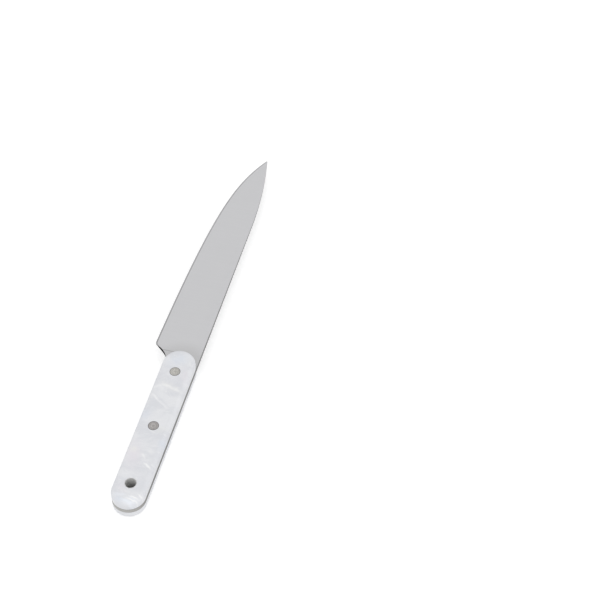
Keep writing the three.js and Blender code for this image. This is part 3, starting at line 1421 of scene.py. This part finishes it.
def stand(name: str, data: bpy.types.ID, place: Vector, ahead: Vector) -> Piece:
    """Set up a lamp or a camera.

    Args:
        name: Name of the object.
        data: The lamp or the camera.
        place: Where it stands.
        ahead: Direction that it looks in.

    Returns:
        The object.
    """
    item = bpy.data.objects.new(name, data)
    bpy.context.scene.collection.objects.link(item)
    item.location = place
    item.rotation_euler = ahead.to_track_quat("-Z", "Y").to_euler()
    return item


@dataclass(frozen=True)
class Lamp:
    """A soft rectangular lamp: its power in watts, and its place and size in metres."""

    name: str
    power: float
    place: Triple
    size: Spot

    def hang(self) -> None:
        """Hang the lamp and turn it to the knife."""
        light = bpy.data.lights.new(self.name, "AREA")
        light.energy = self.power
        light.shape = "RECTANGLE"
        light.size, light.size_y = self.size
        stand(self.name, light, Vector(self.place), -Vector(self.place))


KEY_LAMP = Lamp("key", power=1.2, place=(-0.78, -0.05, 0.6), size=(0.4, 0.4))
SIDE_LAMP = Lamp("side", power=1.1, place=(-0.15, -1.0, 0.07), size=(0.6, 0.1))


@dataclass
class Studio:
    """White table, soft light and the camera."""

    aim: Triple = (33.5 * MM, -54.75 * MM, 0.0)
    knife_turn: float = 75.26
    look_down: float = 49.768
    distance: float = 874.5 * MM
    nearest: float = 10.0 * MM
    sensor_width: float = 36.0
    picture_width: int = 600
    focal_pixels: float = 1512.0
    floor_size: float = 6.0
    floor_gap: float = 0.01 * MM
    floor_colour: Colour = (0.75, 0.75, 0.75)
    floor_roughness: float = 0.9
    floor_lift: float = 0.425
    room_light: float = 0.885
    lamps: tuple[Lamp, ...] = (KEY_LAMP, SIDE_LAMP)

    def build(self) -> None:
        """Set up the table, the light and the camera."""
        bpy.context.scene.view_settings.view_transform = "Standard"
        self.lay_table()
        self.light_room()
        for lamp in self.lamps:
            lamp.hang()
        self.place_camera()
        LOG.info("studio: table, room light, %d lamps and camera", len(self.lamps))

    def seen_directly(self, sheet: Sheet) -> Socket:
        """Tell rays from the camera, and their reflections, from rays that only carry light.

        Args:
            sheet: The material's or world's sheet.

        Returns:
            An output that is 1 on rays that show the surface.
        """
        path = sheet.add("ShaderNodeLightPath", {})
        shiny = sheet.math("MAXIMUM", path["Is Glossy Ray"], path["Is Transmission Ray"])
        return sheet.math("MAXIMUM", path["Is Camera Ray"], shiny)

    def lay_table(self) -> None:
        """Lay the white table under the knife."""
        clear_selection()
        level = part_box("lower_scale")[0].z - self.floor_gap
        bpy.ops.mesh.primitive_plane_add(size=self.floor_size, location=(0, 0, level))
        floor = settle("table")
        material, sheet, shader = new_material("white_table")
        dressing = {
            "Base Color": self.floor_colour,
            "Roughness": self.floor_roughness,
            "Specular IOR Level": 0.0,
            "Emission Color": WHITE,
            "Emission Strength": sheet.math("MULTIPLY", self.seen_directly(sheet), self.floor_lift),
        }
        sheet.fill(shader, dressing)
        floor.data.materials.append(material)

    def light_room(self) -> None:
        """Fill the room with even light, white where it is seen."""
        world = bpy.data.worlds.new("white_room")
        bpy.context.scene.world = world
        world.use_nodes = True
        sheet = Sheet(world.node_tree)
        background = next(node for node in world.node_tree.nodes if node.type == "BACKGROUND")
        lift = 1.0 - self.room_light
        strength = sheet.math("MULTIPLY_ADD", self.seen_directly(sheet), lift, self.room_light)
        sheet.fill(background, {"Color": WHITE, "Strength": strength})

    def place_camera(self) -> None:
        """Put the camera where the photograph was taken."""
        data = bpy.data.cameras.new("camera")
        data.sensor_width = self.sensor_width
        data.lens = self.sensor_width * self.focal_pixels / self.picture_width
        data.clip_start = self.nearest
        turn = math.radians(90 - self.knife_turn)
        down = math.radians(self.look_down)
        level = math.cos(down)
        ahead = Vector((math.cos(turn) * level, math.sin(turn) * level, -math.sin(down)))
        place = Vector(self.aim) - ahead * self.distance
        bpy.context.scene.camera = stand("camera", data, place, ahead)


def main() -> None:
    """Build the knife piece by piece, then the studio round it."""
    logging.basicConfig(level=logging.INFO, format="%(name)s %(message)s")
    plan = HandlePlan()
    hand_over(SteelBlank(plan).build(), "blade_steel", "blade_and_tang")
    for side in Side:
        scale = HandleScale(plan, side)
        hand_over(scale.build(), "pearl_acrylic", scale.name)
    for rivet in (
        Rivet(plan, "front", colour=(0.5, 0.488, 0.458), ring_and_rim_shade_colour=(0.2, 0.195, 0.186), ring_share=0.25),
        Rivet(plan, "middle", colour=(0.44, 0.42, 0.413), ring_and_rim_shade_colour=(0.16, 0.153, 0.15), ring_share=0.4),
    ):
        rivet.build()
    hand_over(HangingTube(plan).build(), "tube_steel", TUBE)
    dress_seams()
    Studio().build()


if __name__ == "__main__":
    main()
